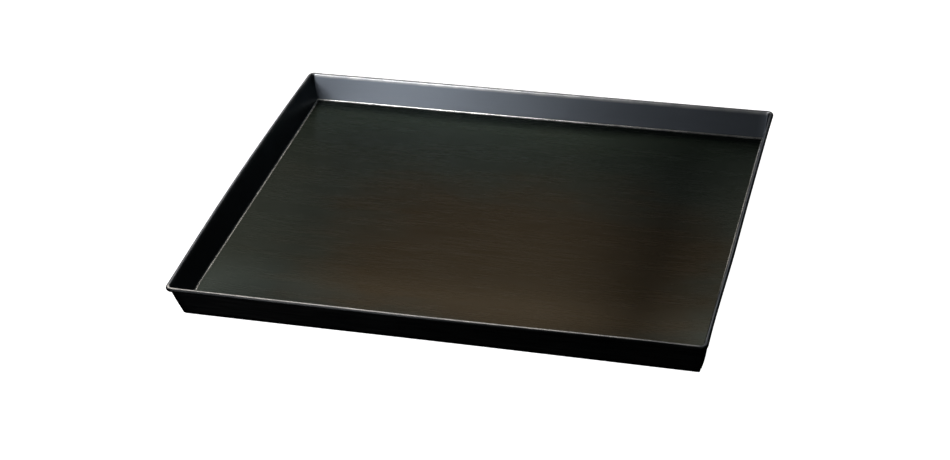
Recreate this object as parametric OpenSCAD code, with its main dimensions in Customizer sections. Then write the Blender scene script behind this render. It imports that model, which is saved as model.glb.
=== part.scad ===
// Oven baking tray: one blued steel sheet, folded up into four flared walls and curled
// outwards round a stiffening wire. Origin at the middle of the underside, +Z up,
// the long side along X. Millimetres.

/* [Tray] */
// Overall length, outside the rolled rim
tray_l = 455; // [300:1:600]
// Overall width, outside the rolled rim
tray_w = 375; // [240:1:400]
// Overall height, from the underside to the top of the rim
tray_h = 30; // [20:1:45]

/* [Sheet] */
// Thickness of the steel sheet
sheet_t = 0.8; // [0.5:0.1:1]
// Angle that each wall leans outwards from upright, in degrees
flare = 12; // [5:1:20]
// Inside radius of the bend between the floor and a wall
bend_r = 4; // [1:0.5:6]
// Radius of the rim's corners in plan, at the outside of the rim
corner_r = 6; // [5:0.5:14]

/* [Rim] */
// Outside radius of the rolled bead along the rim
bead_r = 1.7; // [1.5:0.1:2.5]
// Part of the bead's circle left open where the curl comes back to the wall, in degrees
curl_gap = 62; // [58:1:90]
// Play between the rim wire and the curl around it
wire_play = 0.05; // [0.03:0.01:0.1]
// Gap between the two butted ends of the rim wire
wire_gap = 1; // [0.5:0.5:5]

/* [Corner pleats] */
// Length of a pleat's top edge, along the rim
pleat_l = 27; // [10:1:32]
// How far the top edge of a pleat is caught in the curl
pleat_bite = 0.3; // [0.1:0.1:0.5]
// Distance of a pleat from the start of the round corner
pleat_back = 0.5; // [0.5:0.5:2]

/* [Hidden] */
$fn = 96;

// The cross-section is drawn as distance out from a corner's upright axis, and height.
// The wall runs up from the bend's centre line to the middle of the bead.
bend_z = sheet_t + bend_r;
bead_z = tray_h - bead_r;
wall_len = (bead_z - bend_z + sin(flare) * (bend_r + bead_r)) / cos(flare);
bend_x = corner_r - bead_r - cos(flare) * (bend_r + bead_r) - sin(flare) * wall_len;

// Half distances between the corners' upright axes
axis_x = tray_l / 2 - corner_r;
axis_y = tray_w / 2 - corner_r;

// A pleat is two layers of sheet, and its solid runs half a layer into the wall behind it.
// Its foot is set in by whole half millimetres, to stay on the wall where that is mitred,
// and starts a little above the bend.
pleat_t = 2 * sheet_t;
pleat_sink = sheet_t / 2;
pleat_foot = floor(2 * min(0, bend_x + cos(flare) * (bend_r + sheet_t))) / 2;
pleat_rise = 1;

wire_r = bead_r - sheet_t - wire_play;
wire_bend_r = corner_r - bead_r;

// Width of flat floor that each wall carries inside the corners' axes
seam = 12;
// Longer than any part of the section, for cutting shapes
reach = 2 * corner_r;

// Places children on the wall's slope: X is out through the sheet, Y is up the wall
module on_slope() {
    translate([bend_x, bend_z]) rotate(-flare) children();
}

// Edge of the flat floor, and the ring of sheet that bends up from it into the wall
module bend_section() {
    translate([bend_x, bend_z]) {
        translate([-reach, -bend_z]) square([reach, sheet_t]);
        intersection() {
            difference() {
                circle(bend_r + sheet_t);
                circle(bend_r);
            }
            polygon([[0, 0], [0, -reach], [reach, -reach], [reach, -reach * tan(flare)]]);
        }
    }
}

// Ring of sheet rolled outwards, open for curl_gap below its start on the wall
module curl_section() {
    on_slope() translate([bend_r + bead_r, wall_len]) difference() {
        circle(bead_r);
        circle(bead_r - sheet_t);
        polygon([
            [0, 0],
            [-reach, 0],
            [-reach, -reach],
            [-reach * sin(90 - curl_gap), -reach * cos(90 - curl_gap)]
        ]);
    }
}

// The whole folded section, from the flat floor to the end of the curl
module wall_section() {
    bend_section();
    on_slope() translate([bend_r, 0]) square([sheet_t, wall_len]);
    curl_section();
}

// Straight wall of a side whose corner axes lie half_run either way along X. Below the
// round corners its ends are mitred against the next walls.
module wall(half_run) {
    intersection() {
        translate([-half_run, 0, 0]) rotate([90, 0, 90])
            linear_extrude(2 * half_run) wall_section();
        translate([0, 0, -reach]) linear_extrude(tray_h + 2 * reach) polygon([
            [-half_run + seam, -seam],
            [half_run - seam, -seam],
            [half_run, 0],
            [half_run, reach],
            [-half_run, reach],
            [-half_run, 0]
        ]);
    }
}

// Round corner: the section turned a quarter about the corner's upright axis
module corner() {
    rotate_extrude(angle = 90) intersection() {
        wall_section();
        square([reach, tray_h + reach]);
    }
}

// Spare metal of a corner, folded double into a triangle flat on the wall's outside
module pleat() {
    top = wall_len - bead_r + pleat_bite;
    translate([-pleat_back, bend_x, bend_z]) rotate([-flare, 0, 0])
        translate([0, bend_r + sheet_t + pleat_t, 0]) rotate([90, 0, 0])
            linear_extrude(pleat_t + pleat_sink) polygon([[pleat_foot, pleat_rise], [0, top], [-pleat_l, top]]);
}

module pan() {
    color("#2b2e31") union() {
        floor_x = axis_x - seam;
        floor_y = axis_y - seam;
        translate([-floor_x, -floor_y, 0]) cube([2 * floor_x, 2 * floor_y, sheet_t]);
        for (turn = [0, 180]) rotate(turn) {
            translate([0, axis_y, 0]) wall(axis_x);
            rotate(-90) translate([0, axis_x, 0]) wall(axis_y);
            translate([axis_x, axis_y, 0]) corner();
            translate([axis_x, -axis_y, 0]) rotate(-90) corner();
            rotate(-90) for (side = [0, 1]) mirror([side, 0, 0])
                translate([axis_y, axis_x, 0]) pleat();
        }
    }
}

// A straight length of the wire along X at the middle of the bead
module wire_run(from, to) {
    translate([from, 0, bead_z]) rotate([0, 90, 0]) cylinder(h = to - from, r = wire_r);
}

module wire_corner() {
    rotate_extrude(angle = 90) translate([wire_bend_r, bead_z]) circle(wire_r);
}

module rim_wire() {
    color("#6d6f72") union() {
        // The back run is in two lengths, whose ends butt in the middle
        for (side = [0, 1]) mirror([side, 0, 0]) {
            translate([0, axis_y + wire_bend_r, 0]) wire_run(wire_gap / 2, axis_x);
            translate([axis_x + wire_bend_r, 0, 0]) rotate(90) wire_run(-axis_y, axis_y);
            translate([axis_x, axis_y, 0]) wire_corner();
            translate([axis_x, -axis_y, 0]) rotate(-90) wire_corner();
        }
        translate([0, -axis_y - wire_bend_r, 0]) wire_run(-axis_x, axis_x);
    }
}

pan();
rim_wire();
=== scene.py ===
"""Looks of the folded steel baking tray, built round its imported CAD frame. Metres, +Z up."""

import math

import bmesh
import bpy
from mathutils import Matrix, Vector, noise


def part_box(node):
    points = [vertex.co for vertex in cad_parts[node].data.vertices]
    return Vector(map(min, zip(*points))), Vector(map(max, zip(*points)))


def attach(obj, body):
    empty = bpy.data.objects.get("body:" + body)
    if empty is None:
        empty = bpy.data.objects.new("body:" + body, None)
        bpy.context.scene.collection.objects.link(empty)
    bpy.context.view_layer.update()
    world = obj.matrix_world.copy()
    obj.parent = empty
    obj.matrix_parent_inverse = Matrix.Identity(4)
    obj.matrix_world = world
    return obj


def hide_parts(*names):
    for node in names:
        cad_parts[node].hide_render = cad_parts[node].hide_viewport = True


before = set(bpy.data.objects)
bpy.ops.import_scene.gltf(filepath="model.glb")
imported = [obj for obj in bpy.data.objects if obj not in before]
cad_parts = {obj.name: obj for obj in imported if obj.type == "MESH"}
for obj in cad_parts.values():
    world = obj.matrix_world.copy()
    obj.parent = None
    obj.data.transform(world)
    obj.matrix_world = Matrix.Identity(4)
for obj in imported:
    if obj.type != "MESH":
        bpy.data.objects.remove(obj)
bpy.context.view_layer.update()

MM = 0.001

# ---------------------------------------------------------------- sizes of the CAD part
SHEET = 0.8 * MM
FLARE = math.radians(12)
BEND_R = 4 * MM
CORNER_R = 6 * MM
BEAD_R = 1.7 * MM
CURL_GAP = math.radians(62)       # part of the circle that the curl leaves open
WIRE_R = 0.85 * MM
WIRE_GAP = 1 * MM                 # between the wire's butted ends
PLEAT_L = 27 * MM
PLEAT_T = 2 * SHEET
PLEAT_BACK = 0.5 * MM
PLEAT_FOOT = 2 * MM               # its foot is this much further in than its top
PLEAT_RISE = 1 * MM
PLEAT_THIN = 0.35                 # share of the thickness that a pleat has at its foot
PLEAT_TAPER = 0.4                 # share of its height over which it thickens

low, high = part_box("pan")
HEIGHT = high.z - low.z
AXIS_X = (high.x - low.x) / 2 - CORNER_R
AXIS_Y = (high.y - low.y) / 2 - CORNER_R
BEND_Z = SHEET + BEND_R
BEAD_Z = HEIGHT - BEAD_R
WALL_LEN = (BEAD_Z - BEND_Z + math.sin(FLARE) * (BEND_R + BEAD_R)) / math.cos(FLARE)
BEND_X = CORNER_R - BEAD_R - math.cos(FLARE) * (BEND_R + BEAD_R) - math.sin(FLARE) * WALL_LEN

# ---------------------------------------------------------------- shape of the real sheet
FLOOR_EDGE = BEND_X - 4 * MM      # where the floor's grid meets the folded border
CORNER_EASE = 1.0 * MM            # softness of the fold where a corner meets the floor
BOWS = (0.3 * MM, -0.9 * MM, -0.5 * MM, 2.9 * MM)   # back, right, front, left rim, mid-side
KNOCK = Vector((-1.9 * MM, 3.1 * MM, 0.4 * MM))     # the front right corner's rim, pushed in
KNOCK_REACH = (260 * MM, 150 * MM)                   # how far along X and Y that is felt
FOOT_KNOCK = Vector((3.6 * MM, -1.6 * MM, 0))        # the front left corner's foot, knocked
FOOT_REACH = 46 * MM              # how far into the tray that is felt
FOOT_LENGTH = 300 * MM            # how far the front's bottom edge follows it
DISH = 3.1 * MM                   # how far the floor's edges have drawn up at the bend
DISH_REACH = 60 * MM              # how far in from the bend that is felt
CREASE_R = 1.2 * MM               # inside radius of the tight inner fold
WEAR_AND_HIGHLIGHT_FROM = 62                    # angle round the bead, in degrees, where the wear and painted highlight start
WEAR_AND_HIGHLIGHT_SPAN = 34                    # and over how many degrees it becomes full
RIM_WEAR_AND_PAINTED_HIGHLIGHT = (0.38, 0.12, 1.0, 0.28)    # how much the back, right, front and left rims are rubbed; the sides differ as painted highlight strength
FRONT_WEAR_AND_HIGHLIGHT_FADE = 0.4                  # painted highlight: share of the front rim's wear that is gone at its right end, so its highlight fades there
FOLD_WEAR_AND_HIGHLIGHT = 0.64                  # how much the inner fold is rubbed bare, which also paints the bright line along it
FLOOR_DOME = 0.45 * MM            # rise of the floor's middle
FLOOR_WAVE = 0.22 * MM            # slack in the floor
WALL_WAVE = 0.16 * MM             # slack in the walls
BEAD_SWELL = 0.10                 # the bead is fatter where it takes in a corner's spare metal
CELL = 8 * MM                     # spacing of the mesh along the sides
CORNER_STEPS = 14
SWELL_REACH = 4 * MM              # how far the swelling runs on along a long side


# ================================================================ geometry
def smooth(share):
    """A soft step from 0 to 1."""
    share = min(1.0, max(0.0, share))
    return share * share * (3 - 2 * share)


def on_slope(out, up):
    """A point of the section, from its place out through the sheet and up the wall."""
    rho = BEND_X + out * math.cos(FLARE) + up * math.sin(FLARE)
    return rho, BEND_Z - out * math.sin(FLARE) + up * math.cos(FLARE)


def arc(centre, radius, first, last, steps):
    return [
        (centre[0] + radius * math.cos(a), centre[1] + radius * math.sin(a))
        for a in (first + (last - first) * i / steps for i in range(steps + 1))
    ]


def curl_point(radius, angle):
    """A point round the bead: 180 degrees is where the wall runs into it, 90 is its top."""
    return on_slope(BEND_R + BEAD_R + radius * math.cos(angle),
                    WALL_LEN + radius * math.sin(angle))


def bead_wear_and_highlight(angle):
    """The rim is rubbed bare on its top and towards the inside of the tray, which also places the
    rim's painted highlight there.
    """
    return smooth((math.degrees(angle) - WEAR_AND_HIGHLIGHT_FROM) / WEAR_AND_HIGHLIGHT_SPAN)


def inner_fold():
    """Middle of the inside of the fold, and how far up the wall it ends."""
    out = BEND_R - CREASE_R
    up = (SHEET + DISH + CREASE_R - BEND_Z + out * math.sin(FLARE)) / math.cos(FLARE)
    return on_slope(out, up), up


def floor_top(x, y):
    """Rise of the floor's upper face: drawn up at the edges, slack in the middle."""
    edge = inner_fold()[0][0]
    near_x = max(0.0, 1 - (AXIS_X + edge - abs(x)) / DISH_REACH) ** 2
    near_y = max(0.0, 1 - (AXIS_Y + edge - abs(y)) / DISH_REACH) ** 2
    return DISH * (1 - (1 - near_x) * (1 - near_y)) + floor_lift(x, y)


def sheet_section():
    """Outline of the folded sheet as (distance out, height, is bead, wear and painted highlight,
    outside with its painted shade).
    """
    centre = on_slope(0, 0)
    down, wall_side = -math.pi / 2, -FLARE
    curl_end = -math.pi + CURL_GAP
    beside = BEND_X - 0.8 * MM
    rows = []

    def add(points, bead=False, wear_and_painted_highlight=0.0, outside=0.0):
        rows.extend((p[0], p[1], bead, wear_and_painted_highlight, outside) for p in points)

    fold, up = inner_fold()
    add([(FLOOR_EDGE, SHEET), (fold[0] - 0.7 * MM, SHEET)])
    add(arc(fold, CREASE_R, down, wall_side, 8), wear_and_painted_highlight=FOLD_WEAR_AND_HIGHLIGHT)
    add([on_slope(BEND_R, up + 0.4 * MM)])
    add([on_slope(BEND_R, up + (WALL_LEN - up) * i / 10) for i in range(1, 10)])
    for i in range(45):
        angle = math.pi + (curl_end - math.pi) * i / 44
        # where the bead is not worn, its outer side takes the outside's painted shade
        add([curl_point(BEAD_R, angle)], True, bead_wear_and_highlight(angle), 1 - bead_wear_and_highlight(angle))
    for i in range(23):
        angle = curl_end + (math.pi - curl_end) * i / 22
        add([curl_point(BEAD_R - SHEET, angle)], True, outside=1.0)
    add([on_slope(BEND_R + SHEET, WALL_LEN * i / 10) for i in range(9, 0, -1)], outside=1.0)
    add(arc(centre, BEND_R + SHEET, wall_side, down, 12), outside=1.0)
    add([(beside, 0), (FLOOR_EDGE, 0)], outside=1.0)
    return rows


def ease(rho):
    return (rho + math.sqrt(rho * rho + 4 * CORNER_EASE**2)) / 2


def corner_radius(rho):
    """Plan radius of the corners at a distance out: a point at the floor, a cone above."""
    return max(0.0, ease(rho) - ease(FLOOR_EDGE))


def turned(side, along, out):
    """Sides run back, right, front, left, clockwise seen from above."""
    return ((along, out), (out, -along), (-along, -out), (-out, along))[side]


def half_runs(side):
    return (AXIS_X, AXIS_Y) if side % 2 == 0 else (AXIS_Y, AXIS_X)


def slack(x, y, size, seed):
    """Smooth unevenness, about -1 to 1, of the given size."""
    return noise.noise(Vector((x / size + seed, y / size - seed, 2 * seed)))


def place(side, run, turn, rho, z):
    """A point of the border. run is -1 to 1 along the side, turn 0 to 1 round its corner."""
    half, away = half_runs(side)
    radius = corner_radius(rho)
    if turn is None:
        along, out = run * (half + rho - radius), away + rho
    else:
        angle = turn * math.pi / 2
        along = half + rho - radius + radius * math.sin(angle)
        out = away + rho - radius + radius * math.cos(angle)
    rise = min(1.0, max(0.0, (z - BEND_Z) / (BEAD_Z - BEND_Z)))
    if turn is None:
        x, y = turned(side, along, out)
        middle = 1 - run * run
        out += BOWS[side] * rise * middle
        out += WALL_WAVE * slack(x, y, 90 * MM, 3.7) * math.sqrt(rise * middle)
    x, y = turned(side, along, out)
    return Vector((x, y, z)) + rise * knock_share(x, y) * KNOCK + (1 - rise) * foot_shift(x, y)


def foot_shift(x, y):
    """The front left corner's foot is pushed in and forward, with the floor next to it."""
    behind = smooth(1 - (y + AXIS_Y) / FOOT_REACH)
    inside = smooth(1 - (x + AXIS_X) / FOOT_REACH)
    along = smooth(1 - (x + AXIS_X) / FOOT_LENGTH)
    return Vector((FOOT_KNOCK.x * behind * inside, FOOT_KNOCK.y * behind * along, 0))


def knock_share(x, y):
    """How much of the front right corner's knock is felt at a place on the rim."""
    away = math.hypot((x - AXIS_X) / KNOCK_REACH[0], (y + AXIS_Y) / KNOCK_REACH[1])
    return max(0.0, 1 - away) ** 2 * (1 + 2 * min(1.0, away))


def stations():
    """Places round the border, clockwise from the back left: (side, run, turn)."""
    found = []
    for side in range(4):
        cells = round(2 * half_runs(side)[0] / CELL)
        found += [(side, -1 + 2 * i / cells, None) for i in range(cells + 1)]
        found += [(side, 1.0, i / CORNER_STEPS) for i in range(1, CORNER_STEPS)]
    return found


def floor_lift(x, y):
    """Rise of the floor sheet, none where the border begins."""
    fx, fy = x / (AXIS_X + FLOOR_EDGE), y / (AXIS_Y + FLOOR_EDGE)
    hold = max(0.0, 1 - fx * fx) * max(0.0, 1 - fy * fy)
    wave = 1 + slack(x, y, 120 * MM, 1.3)
    return FLOOR_DOME * hold + FLOOR_WAVE * wave * math.sqrt(hold)


def swell(side, run, turn):
    """Growth of the bead round a corner and over the pleats."""
    if turn is not None:
        return 1 + BEAD_SWELL
    half = half_runs(side)[0]
    reach = PLEAT_L if side % 2 else SWELL_REACH
    inside = (1 - abs(run)) * half
    return 1 + BEAD_SWELL * max(0.0, 1 - inside / reach)


def swollen(rho, z, factor):
    """A bead point moved away from the bead's middle, kept under the rim's top."""
    middle = on_slope(BEND_R + BEAD_R, WALL_LEN)
    grown = middle[1] + (z - middle[1]) * factor
    return middle[0] + (rho - middle[0]) * factor, min(grown, HEIGHT)


def add_border(bm, wear_and_painted_highlight_layer, outside_layer):
    section = sheet_section()
    ring = stations()
    columns = []
    for side, run, turn in ring:
        column = []
        factor = swell(side, run, turn)
        for rho, z, bead, wear_and_painted_highlight, outside in section:
            if bead:
                rho, z = swollen(rho, z, factor)
            vert = bm.verts.new(place(side, run, turn, rho, z))
            if rho < BEND_X + 3 * MM and z == SHEET:
                vert.co.z += floor_top(vert.co.x, vert.co.y)
            if bead:
                # painted highlight: the rim's wear is scaled side by side and faded along the
                # front, which sets how bright each rim's highlight shows
                wear_and_painted_highlight *= RIM_WEAR_AND_PAINTED_HIGHLIGHT[side] * (1 - FRONT_WEAR_AND_HIGHLIGHT_FADE * (1 - run) / 2 if side == 2 else 1)
            vert[wear_and_painted_highlight_layer] = wear_and_painted_highlight
            vert[outside_layer] = outside
            column.append(vert)
        columns.append(column)
    for i, column in enumerate(columns):
        after = columns[(i + 1) % len(columns)]
        for j in range(len(section) - 1):
            bm.faces.new((column[j], column[j + 1], after[j + 1], after[j]))


def add_floor(bm, outside_layer):
    nx = round(2 * AXIS_X / CELL)
    ny = round(2 * AXIS_Y / CELL)
    for z, flip in ((SHEET, False), (0.0, True)):
        grid = []
        for j in range(ny + 1):
            y = (-1 + 2 * j / ny) * (AXIS_Y + FLOOR_EDGE)
            row = []
            for i in range(nx + 1):
                x = (-1 + 2 * i / nx) * (AXIS_X + FLOOR_EDGE)
                vert = bm.verts.new(Vector((x, y, z)) + foot_shift(x, y))
                vert.co.z += (floor_lift if flip else floor_top)(vert.co.x, vert.co.y)
                vert[outside_layer] = 1.0 if flip else 0.0
                row.append(vert)
            grid.append(row)
        for j in range(ny):
            for i in range(nx):
                quad = (grid[j][i], grid[j][i + 1], grid[j + 1][i + 1], grid[j + 1][i])
                bm.faces.new(quad[::-1] if flip else quad)


def add_pleat(bm, side, end, outside_layer):
    """A corner's spare metal, folded double into a triangle flat on the end wall."""
    top = WALL_LEN - 0.75 * BEAD_R
    half = half_runs(side)[0]
    across, tall = 18, 26
    sunk = 0.3 * MM
    fronts, backs = [], []
    for j in range(tall + 1):
        v = 0.04 + 0.96 * j / tall
        front_row, back_row = [], []
        for i in range(across + 1):
            u = i / across
            wide = PLEAT_L * v
            from_edge = (1 - u) * wide * math.sqrt(0.5)
            from_corner = u * wide
            near = min(1.0, from_edge / PLEAT_T, 0.25 + from_corner / PLEAT_T)
            thick = PLEAT_T * math.sqrt(1 - (1 - near) ** 2)
            thick *= PLEAT_THIN + (1 - PLEAT_THIN) * smooth(v / PLEAT_TAPER)
            inside = PLEAT_BACK + PLEAT_FOOT * (1 - v) + u * wide
            for row, out in ((front_row, SHEET + thick), (back_row, SHEET - sunk)):
                rho, z = on_slope(BEND_R + out, PLEAT_RISE + v * (top - PLEAT_RISE))
                run = end * (half - inside) / (half + rho - corner_radius(rho))
                vert = bm.verts.new(place(side, run, None, rho, z))
                vert[outside_layer] = 1.0
                row.append(vert)
        fronts.append(front_row)
        backs.append(back_row)

    def face(*verts):
        bm.faces.new(verts if end > 0 else verts[::-1])

    for j in range(tall):
        for i in range(across):
            face(fronts[j][i], fronts[j][i + 1], fronts[j + 1][i + 1], fronts[j + 1][i])
            face(backs[j][i], backs[j + 1][i], backs[j + 1][i + 1], backs[j][i + 1])
        face(fronts[j][0], fronts[j + 1][0], backs[j + 1][0], backs[j][0])
        face(fronts[j + 1][-1], fronts[j][-1], backs[j][-1], backs[j + 1][-1])
    for i in range(across):
        face(fronts[0][i + 1], fronts[0][i], backs[0][i], backs[0][i + 1])
        face(fronts[-1][i], fronts[-1][i + 1], backs[-1][i + 1], backs[-1][i])


def new_object(name, bm, sharp=math.radians(38)):
    mesh = bpy.data.meshes.new(name)
    bm.to_mesh(mesh)
    bm.free()
    obj = bpy.data.objects.new(name, mesh)
    bpy.context.scene.collection.objects.link(obj)
    for polygon in mesh.polygons:
        polygon.use_smooth = True
    mesh.set_sharp_from_angle(angle=sharp)
    return obj


def make_pan():
    bm = bmesh.new()
    wear_and_painted_highlight_layer = bm.verts.layers.float.new("wear_and_painted_highlight")
    outside_layer = bm.verts.layers.float.new("outside")
    add_border(bm, wear_and_painted_highlight_layer, outside_layer)
    add_floor(bm, outside_layer)
    bmesh.ops.remove_doubles(bm, verts=bm.verts, dist=0.002 * MM)
    bmesh.ops.recalc_face_normals(bm, faces=bm.faces)
    for side in (1, 3):
        for end in (-1, 1):
            add_pleat(bm, side, end, outside_layer)
    return new_object("folded_pan", bm)


def make_wire():
    """The stiffening wire, bowed with the rim, its ends butted behind the back wall."""
    rho, z = on_slope(BEND_R + BEAD_R, WALL_LEN)
    gap = WIRE_GAP / 2 / AXIS_X
    ring = stations()
    middle = min(range(len(ring)), key=lambda i: abs(ring[i][1]) if ring[i][0] == 0 else 9)
    ring = ring[middle:] + ring[:middle]
    if ring[0][1] < gap:
        ring = ring[1:]
    points = [place(0, gap, None, rho, z)]
    points += [place(s, r, t, rho, z) for s, r, t in ring]
    points.append(place(0, -gap, None, rho, z))
    bm = bmesh.new()
    sides = 16
    rings = []
    for i, point in enumerate(points):
        ahead = points[min(i + 1, len(points) - 1)] - points[max(i - 1, 0)]
        ahead.normalize()
        across = ahead.cross(Vector((0, 0, 1))).normalized()
        upward = across.cross(ahead)
        rings.append([
            bm.verts.new(point + WIRE_R * (math.cos(a) * across + math.sin(a) * upward))
            for a in (2 * math.pi * k / sides for k in range(sides))
        ])
    for a, b in zip(rings, rings[1:]):
        for k in range(sides):
            n = (k + 1) % sides
            bm.faces.new((a[k], a[n], b[n], b[k]))
    bm.faces.new(rings[0][::-1])
    bm.faces.new(rings[-1])
    bmesh.ops.remove_doubles(bm, verts=bm.verts, dist=0.002 * MM)
    bmesh.ops.recalc_face_normals(bm, faces=bm.faces)
    return new_object("bent_rim_wire", bm)


# ================================================================ materials
class Nodes:
    """Short forms for building a shader."""

    def __init__(self, name):
        self.material = bpy.data.materials.new(name)
        self.material.use_nodes = True
        self.tree = self.material.node_tree
        self.shader = self.tree.nodes["Principled BSDF"]

    def add(self, kind, inputs=None, **settings):
        node = self.tree.nodes.new(kind)
        for key, value in settings.items():
            setattr(node, key, value)
        for key, value in (inputs or {}).items():
            self.put(node.inputs[key], value)
        return node

    def put(self, socket, value):
        if isinstance(value, bpy.types.NodeSocket):
            self.tree.links.new(value, socket)
        else:
            socket.default_value = value

    def place(self, scale):
        """The object's own coordinates, in metres, stretched."""
        where = self.add("ShaderNodeTexCoord").outputs["Object"]
        return self.add("ShaderNodeMapping", {"Vector": where, "Scale": scale}).outputs[0]

    def noise(self, scale, detail=4.0, rough=0.5, stretch=(1, 1, 1), distort=0.0):
        return self.add("ShaderNodeTexNoise", {
            "Vector": self.place(stretch),
            "Scale": scale,
            "Detail": detail,
            "Roughness": rough,
            "Distortion": distort,
        }).outputs["Fac"]

    def span(self, value, low_in, high_in, low_out=0.0, high_out=1.0):
        return self.add("ShaderNodeMapRange", {
            "Value": value,
            "From Min": low_in,
            "From Max": high_in,
            "To Min": low_out,
            "To Max": high_out,
        }, interpolation_type="SMOOTHSTEP").outputs[0]

    def math(self, operation, a, b):
        return self.add("ShaderNodeMath", {0: a, 1: b}, operation=operation).outputs[0]

    def mix(self, share, a, b, how="MIX"):
        node = self.add("ShaderNodeMix", data_type="RGBA", blend_type=how)
        self.put(node.inputs[0], share)
        self.put(node.inputs[6], a)
        self.put(node.inputs[7], b)
        return node.outputs[2]

    def attribute(self, name):
        return self.add("ShaderNodeAttribute", attribute_name=name).outputs["Fac"]

    def bump(self, height, distance):
        return self.add("ShaderNodeBump", {
            "Height": height,
            "Distance": distance,
            "Strength": 1.0,
        }).outputs[0]


def blued_steel():
    """Blued sheet: olive and brown oxide on the floor with painted shade towards the back,
    blue-grey walls lighter as a painted reflection, a near-black outside as painted shade, rubbed
    edges that also paint the rim's and fold's highlights.
    """
    n = Nodes("blued_sheet")
    grain = n.noise(900, 5.0, 0.6, (0.035, 1, 1))
    streaks = n.noise(60, 3.0, 0.55, (0.12, 1, 1), 0.4)
    clouds = n.noise(9, 3.0, 0.5)
    where = n.add("ShaderNodeSeparateXYZ", {0: n.place((1, 1, 1))}).outputs
    wall = n.span(where["Z"], 4.1 * MM, 6.1 * MM)

    olive = (0.040, 0.049, 0.043, 1)
    brown = (0.047, 0.035, 0.020, 1)
    # blue-grey oxide of the walls, lighter than the floor's as a painted brighter reflection
    slate_and_painted_reflection = (0.105, 0.118, 0.140, 1)
    # painted shade: near-black colour for the outside faces and the bead's unworn outer side,
    # darker than the oxide
    scale = (0.006, 0.0065, 0.007, 1)
    bare = (0.77, 0.75, 0.73, 1)
    grey = (0.09, 0.09, 0.09, 1)
    middle_painted_shade = (0.62, 0.60, 0.53, 1)      # painted shade: the floor darkens from the front to the back
    back_painted_shade = (0.38, 0.46, 0.37, 1)
    bloom_at = n.add("ShaderNodeMapping", {
        "Vector": n.add("ShaderNodeTexCoord").outputs["Object"],
        "Location": (-0.15, 0.35, 0.0),
        "Scale": (4.0, 5.6, 20.0),
    }).outputs[0]
    bloom = n.add("ShaderNodeTexGradient", {"Vector": bloom_at},
                  gradient_type="SPHERICAL").outputs["Fac"]
    bloom = n.math("ADD", bloom, n.span(clouds, 0.3, 0.7, -0.12, 0.12))
    bloom = n.math("ADD", bloom, n.span(streaks, 0.3, 0.7, -0.05, 0.05))
    colour = n.mix(n.span(bloom, 0.0, 0.55), olive, brown)
    # painted shade: the floor's oxide colour is darkened towards the back
    painted_shade = n.mix(n.span(where["Y"], -0.145, -0.075), (1, 1, 1, 1), middle_painted_shade)
    painted_shade = n.mix(n.span(where["Y"], 0.03, 0.17), painted_shade, back_painted_shade)
    colour = n.mix(1.0, colour, painted_shade, "MULTIPLY")
    # the walls take the blue-grey, partly a painted reflection
    colour = n.mix(wall, colour, slate_and_painted_reflection)
    # painted shade: the outside faces take the near-black colour
    colour = n.mix(n.attribute("outside"), colour, scale)
    colour = n.mix(n.span(grain, 0.35, 0.75, 0.0, 0.12), colour, grey)
    rubbed = n.span(n.noise(70, 4.0), 0.35, 0.65, 0.55, 0.95)
    # bare steel where rubbed; on the rim and the inner fold this rubbing also paints highlights
    colour = n.mix(n.math("MULTIPLY", n.attribute("wear_and_painted_highlight"), rubbed), colour, bare)
    n.put(n.shader.inputs["Base Color"], colour)
    n.shader.inputs["Metallic"].default_value = 1.0
    n.shader.inputs["Anisotropic"].default_value = 0.85
    across_grain = n.add("ShaderNodeCombineXYZ", {"X": 0.0, "Y": 1.0, "Z": 0.3}).outputs[0]
    n.put(n.shader.inputs["Tangent"], across_grain)

    rough = n.math("ADD", n.span(streaks, 0.3, 0.7, 0.26, 0.28), n.span(wall, 0, 1, 0.0, 0.07))
    n.put(n.shader.inputs["Roughness"], n.math("ADD", rough, n.span(grain, 0.3, 0.7, -0.01, 0.01)))
    n.put(n.shader.inputs["Normal"], n.bump(grain, 0.010 * MM))
    return n.material


def drawn_wire():
    n = Nodes("rim_wire")
    lines = n.noise(1200, 3.0, 0.5, (0.2, 0.2, 1))
    n.put(n.shader.inputs["Base Color"],
          n.mix(n.span(lines, 0.3, 0.7), (0.22, 0.22, 0.23, 1), (0.34, 0.33, 0.32, 1)))
    n.shader.inputs["Metallic"].default_value = 1.0
    n.put(n.shader.inputs["Roughness"], n.span(lines, 0.3, 0.7, 0.3, 0.45))
    n.put(n.shader.inputs["Normal"], n.bump(lines, 0.01 * MM))
    return n.material


def pale_floor():
    n = Nodes("studio_floor")
    n.shader.inputs["Roughness"].default_value = 0.9
    n.shader.inputs["Specular IOR Level"].default_value = 0.0
    n.shader.inputs["Base Color"].default_value = (0.85, 0.85, 0.85, 1)
    n.shader.inputs["Emission Color"].default_value = (1, 1, 1, 1)
    n.shader.inputs["Emission Strength"].default_value = 0.96
    return n.material


# ================================================================ camera
CAMERA_AZIMUTH = 16.87
CAMERA_ELEVATION = 33.42
CAMERA_ROLL = -3.59
CAMERA_DISTANCE = 1.7208
CAMERA_TARGET = Vector((-0.0080, -0.0123, 0.0))
CAMERA_LENS = 73.95


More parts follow.
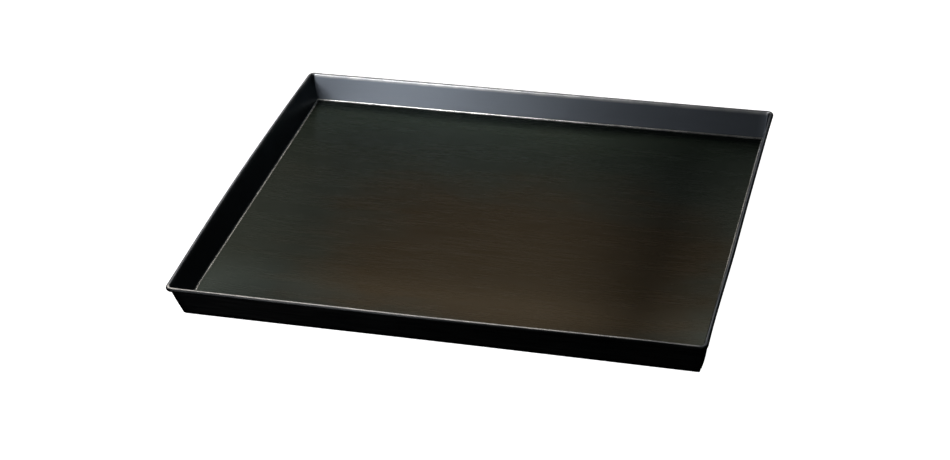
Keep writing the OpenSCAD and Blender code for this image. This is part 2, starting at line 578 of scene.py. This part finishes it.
def make_camera():
    azimuth, elevation, roll = map(
        math.radians, (CAMERA_AZIMUTH, CAMERA_ELEVATION, CAMERA_ROLL))
    back = Vector((
        math.sin(azimuth) * math.cos(elevation),
        -math.cos(azimuth) * math.cos(elevation),
        math.sin(elevation),
    ))
    level = Vector((math.cos(azimuth), math.sin(azimuth), 0))
    right = math.cos(roll) * level + math.sin(roll) * back.cross(level)
    upward = back.cross(right)
    turn = Matrix((right, upward, back)).transposed()
    data = bpy.data.cameras.new("camera")
    data.sensor_width = 36
    data.lens = CAMERA_LENS
    data.clip_end = 50
    camera = bpy.data.objects.new("camera", data)
    camera.matrix_world = Matrix.Translation(CAMERA_TARGET + CAMERA_DISTANCE * back) @ turn.to_4x4()
    bpy.context.scene.collection.objects.link(camera)
    bpy.context.scene.camera = camera


# ================================================================ studio
def soft_light(name, at, size, power, colour=(1, 1, 1)):
    """A rectangular light, aimed at the tray's middle."""
    data = bpy.data.lights.new(name, "AREA")
    data.shape = "RECTANGLE"
    data.size, data.size_y = size
    data.energy = power
    data.color = colour
    light = bpy.data.objects.new(name, data)
    light.location = at
    aim = -Vector(at)
    light.rotation_euler = aim.to_track_quat("-Z", "Y").to_euler()
    bpy.context.scene.collection.objects.link(light)


def aimed_from(azimuth, elevation, distance):
    """A place seen from the tray: azimuth from the front, positive to the right, in degrees."""
    a, e = math.radians(azimuth), math.radians(elevation)
    return (distance * math.sin(a) * math.cos(e), -distance * math.cos(a) * math.cos(e),
            distance * math.sin(e))


def dim_room():
    """A dim room: faint behind the tray, black in front and below the horizon."""
    world = bpy.data.worlds.new("studio")
    world.use_nodes = True
    tree = world.node_tree
    where = tree.nodes.new("ShaderNodeTexCoord")
    split = tree.nodes.new("ShaderNodeSeparateXYZ")
    ranges = []
    for axis, start, stop, most in (("Z", 0.0, 0.5, 0.1), ("Y", -0.3, 0.7, 1.0)):
        node = tree.nodes.new("ShaderNodeMapRange")
        node.inputs["From Min"].default_value = start
        node.inputs["From Max"].default_value = stop
        node.inputs["To Max"].default_value = most
        tree.links.new(split.outputs[axis], node.inputs["Value"])
        ranges.append(node.outputs[0])
    both = tree.nodes.new("ShaderNodeMath")
    both.operation = "MULTIPLY"
    tree.links.new(ranges[0], both.inputs[0])
    tree.links.new(ranges[1], both.inputs[1])
    tree.links.new(where.outputs["Generated"], split.inputs[0])
    tree.links.new(both.outputs[0], tree.nodes["Background"].inputs["Strength"])
    tree.nodes["Background"].inputs["Color"].default_value = (0.85, 0.93, 1, 1)
    return world


def make_studio():
    bpy.ops.mesh.primitive_plane_add(size=24, location=(0, 0, 0))
    floor = bpy.context.object
    floor.name = "studio_floor"
    floor.data.materials.append(pale_floor())
    floor.visible_glossy = False
    bpy.context.scene.world = dim_room()
    soft_light("front_left", aimed_from(-23, 30, 2.6), (0.3, 1.5), 31)
    soft_light("back_left", aimed_from(-149, 52, 2.4), (1.2, 0.8), 9, colour=(1, 0.95, 0.88))
    soft_light("front_right", aimed_from(31, 38, 2.4), (1.6, 0.8), 14, colour=(0.94, 1, 0.98))
    soft_light("side_left", aimed_from(-80, 34, 2.4), (0.8, 1.4), 7)


# ================================================================ the build
make_camera()

pan = make_pan()
pan.data.materials.append(blued_steel())
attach(pan, "root")
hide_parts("pan")

wire = make_wire()
wire.data.materials.append(drawn_wire())
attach(wire, "root")
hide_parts("rim_wire")

make_studio()
bpy.context.scene.view_settings.view_transform = "Standard"
bpy.context.scene.cycles.use_denoising = True
